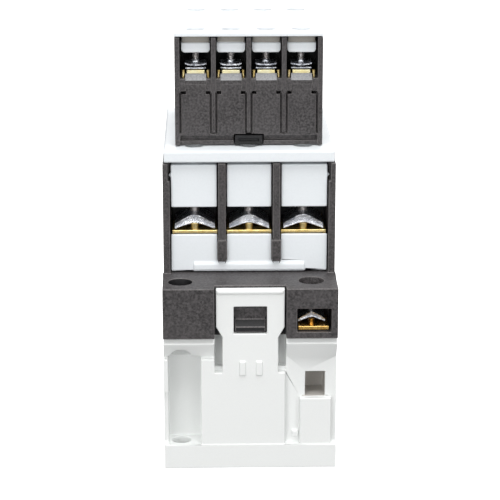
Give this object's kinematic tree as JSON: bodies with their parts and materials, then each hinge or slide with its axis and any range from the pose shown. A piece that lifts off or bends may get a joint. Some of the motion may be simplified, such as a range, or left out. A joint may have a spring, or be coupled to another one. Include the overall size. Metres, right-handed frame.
{
  "type": "din rail contactor",
  "caption": "Three-pole power contactor for a DIN rail, with screw clamp terminals at both ends and a clip-on auxiliary contact block on its front.",
  "frame": {"origin": "bottom centre of the base, on the panel that the rail or the mounting screws fasten to", "axes": "+Z from the rail side to the front face, +X across the width, +Y along the length from the line end to the load end"},
  "size_m": [0.045, 0.082, 0.112],
  "materials": {
    "base_plastic": "satin moulded, warm light grey",
    "dark_plastic": "fine-grained moulded, dark grey",
    "white_plastic": "semi-gloss moulded, cool white",
    "black_plastic": "satin moulded, black",
    "former_plastic": "satin moulded",
    "brass": "bright stamped",
    "coil_brass": "bright stamped, a little redder",
    "zinc_steel": "zinc plated, lightly hammered",
    "core_steel": "laminated, ground pole faces",
    "copper": "enamelled winding",
    "spring_steel": "drawn wire",
    "pad_rubber": "matt"
  },
  "bodies": {
    "housing": {"base_housing": "base_plastic", "terminal_housing": "dark_plastic", "front_cover": "white_plastic", "line_terminal_block": "white_plastic", "coil_contact_line": "coil_brass", "line_contact_1": "brass", "line_contact_2": "brass", "line_contact_3": "brass", "aux_line_contact_1": "brass", "aux_line_contact_2": "brass", "aux_line_contact_3": "brass", "aux_line_contact_4": "brass", "load_terminal_block": "white_plastic", "coil_contact_load": "coil_brass", "load_contact_1": "brass", "load_contact_2": "brass", "load_contact_3": "brass", "aux_load_contact_1": "brass", "aux_load_contact_2": "brass", "aux_load_contact_3": "brass", "aux_load_contact_4": "brass", "fixed_core": "core_steel", "core_pad": "pad_rubber", "coil_bobbin": "former_plastic", "coil_winding": "copper", "return_spring_1": "spring_steel", "return_spring_2": "spring_steel", "din_clip_spring": "spring_steel", "aux_housing": "dark_plastic", "aux_cover": "white_plastic"},
    "carrier": {"contact_carrier": "black_plastic", "armature": "core_steel", "bridge_contact_1": "brass", "bridge_contact_2": "brass", "bridge_contact_3": "brass"},
    "aux_slider": {"aux_slider": "black_plastic"},
    "din_clip": {"din_clip": "black_plastic"},
    "aux_latch": {"aux_latch": "black_plastic"},
    "coil_screw_line": {"coil_screw_line": "zinc_steel"},
    "line_screw_1": {"line_screw_1": "zinc_steel"},
    "line_clamp_1": {"line_clamp_1": "zinc_steel"},
    "line_screw_2": {"line_screw_2": "zinc_steel"},
    "line_clamp_2": {"line_clamp_2": "zinc_steel"},
    "line_screw_3": {"line_screw_3": "zinc_steel"},
    "line_clamp_3": {"line_clamp_3": "zinc_steel"},
    "aux_line_screw_1": {"aux_line_screw_1": "zinc_steel"},
    "aux_line_screw_2": {"aux_line_screw_2": "zinc_steel"},
    "aux_line_screw_3": {"aux_line_screw_3": "zinc_steel"},
    "aux_line_screw_4": {"aux_line_screw_4": "zinc_steel"},
    "coil_screw_load": {"coil_screw_load": "zinc_steel"},
    "load_screw_1": {"load_screw_1": "zinc_steel"},
    "load_clamp_1": {"load_clamp_1": "zinc_steel"},
    "load_screw_2": {"load_screw_2": "zinc_steel"},
    "load_clamp_2": {"load_clamp_2": "zinc_steel"},
    "load_screw_3": {"load_screw_3": "zinc_steel"},
    "load_clamp_3": {"load_clamp_3": "zinc_steel"},
    "aux_load_screw_1": {"aux_load_screw_1": "zinc_steel"},
    "aux_load_screw_2": {"aux_load_screw_2": "zinc_steel"},
    "aux_load_screw_3": {"aux_load_screw_3": "zinc_steel"},
    "aux_load_screw_4": {"aux_load_screw_4": "zinc_steel"}
  },
  "joints": [
    {"name": "carrier_travel", "type": "slide", "parent": "housing", "child": "carrier", "axis": [0, 0, -1], "range_m": [0, 0.004], "stiffness_N_per_m": 500, "springref_m": -0.005, "deforming": ["return_spring_1", "return_spring_2"]},
    {"name": "aux_slider_travel", "type": "slide", "parent": "housing", "child": "aux_slider", "axis": [0, 0, -1], "range_m": [0, 0.004]},
    {"name": "din_clip_slide", "type": "slide", "parent": "housing", "child": "din_clip", "axis": [0, 1, 0], "range_m": [0, 0.0035], "stiffness_N_per_m": 400, "springref_m": -0.004, "deforming": ["din_clip_spring"]},
    {"name": "aux_latch_slide", "type": "slide", "parent": "housing", "child": "aux_latch", "axis": [0, -1, 0], "range_m": [0, 0.002], "stiffness_N_per_m": 300, "springref_m": -0.003},
    {"name": "coil_screw_line_lift", "type": "slide", "parent": "housing", "child": "coil_screw_line", "axis": [0, 0, 1], "range_m": [0, 0.001]},
    {"name": "line_screw_1_drive", "type": "slide", "parent": "housing", "child": "line_screw_1", "axis": [0, 0, 1], "range_m": [-0.004, 0]},
    {"name": "line_clamp_1_lift", "type": "slide", "parent": "housing", "child": "line_clamp_1", "axis": [0, 0, 1], "range_m": [0, 0.002]},
    {"name": "line_screw_2_drive", "type": "slide", "parent": "housing", "child": "line_screw_2", "axis": [0, 0, 1], "range_m": [-0.004, 0]},
    {"name": "line_clamp_2_lift", "type": "slide", "parent": "housing", "child": "line_clamp_2", "axis": [0, 0, 1], "range_m": [0, 0.002]},
    {"name": "line_screw_3_drive", "type": "slide", "parent": "housing", "child": "line_screw_3", "axis": [0, 0, 1], "range_m": [-0.004, 0]},
    {"name": "line_clamp_3_lift", "type": "slide", "parent": "housing", "child": "line_clamp_3", "axis": [0, 0, 1], "range_m": [0, 0.002]},
    {"name": "aux_line_screw_1_lift", "type": "slide", "parent": "housing", "child": "aux_line_screw_1", "axis": [0, 0, 1], "range_m": [0, 0.002]},
    {"name": "aux_line_screw_2_lift", "type": "slide", "parent": "housing", "child": "aux_line_screw_2", "axis": [0, 0, 1], "range_m": [0, 0.002]},
    {"name": "aux_line_screw_3_lift", "type": "slide", "parent": "housing", "child": "aux_line_screw_3", "axis": [0, 0, 1], "range_m": [0, 0.002]},
    {"name": "aux_line_screw_4_lift", "type": "slide", "parent": "housing", "child": "aux_line_screw_4", "axis": [0, 0, 1], "range_m": [0, 0.002]},
    {"name": "coil_screw_load_lift", "type": "slide", "parent": "housing", "child": "coil_screw_load", "axis": [0, 0, 1], "range_m": [0, 0.001]},
    {"name": "load_screw_1_drive", "type": "slide", "parent": "housing", "child": "load_screw_1", "axis": [0, 0, 1], "range_m": [-0.004, 0]},
    {"name": "load_clamp_1_lift", "type": "slide", "parent": "housing", "child": "load_clamp_1", "axis": [0, 0, 1], "range_m": [0, 0.002]},
    {"name": "load_screw_2_drive", "type": "slide", "parent": "housing", "child": "load_screw_2", "axis": [0, 0, 1], "range_m": [-0.004, 0]},
    {"name": "load_clamp_2_lift", "type": "slide", "parent": "housing", "child": "load_clamp_2", "axis": [0, 0, 1], "range_m": [0, 0.002]},
    {"name": "load_screw_3_drive", "type": "slide", "parent": "housing", "child": "load_screw_3", "axis": [0, 0, 1], "range_m": [-0.004, 0]},
    {"name": "load_clamp_3_lift", "type": "slide", "parent": "housing", "child": "load_clamp_3", "axis": [0, 0, 1], "range_m": [0, 0.002]},
    {"name": "aux_load_screw_1_lift", "type": "slide", "parent": "housing", "child": "aux_load_screw_1", "axis": [0, 0, 1], "range_m": [0, 0.002]},
    {"name": "aux_load_screw_2_lift", "type": "slide", "parent": "housing", "child": "aux_load_screw_2", "axis": [0, 0, 1], "range_m": [0, 0.002]},
    {"name": "aux_load_screw_3_lift", "type": "slide", "parent": "housing", "child": "aux_load_screw_3", "axis": [0, 0, 1], "range_m": [0, 0.002]},
    {"name": "aux_load_screw_4_lift", "type": "slide", "parent": "housing", "child": "aux_load_screw_4", "axis": [0, 0, 1], "range_m": [0, 0.002]}
  ],
  "couplings": [
    {"joint": "aux_slider_travel", "follows": "carrier_travel", "ratio": 1}
  ]
}
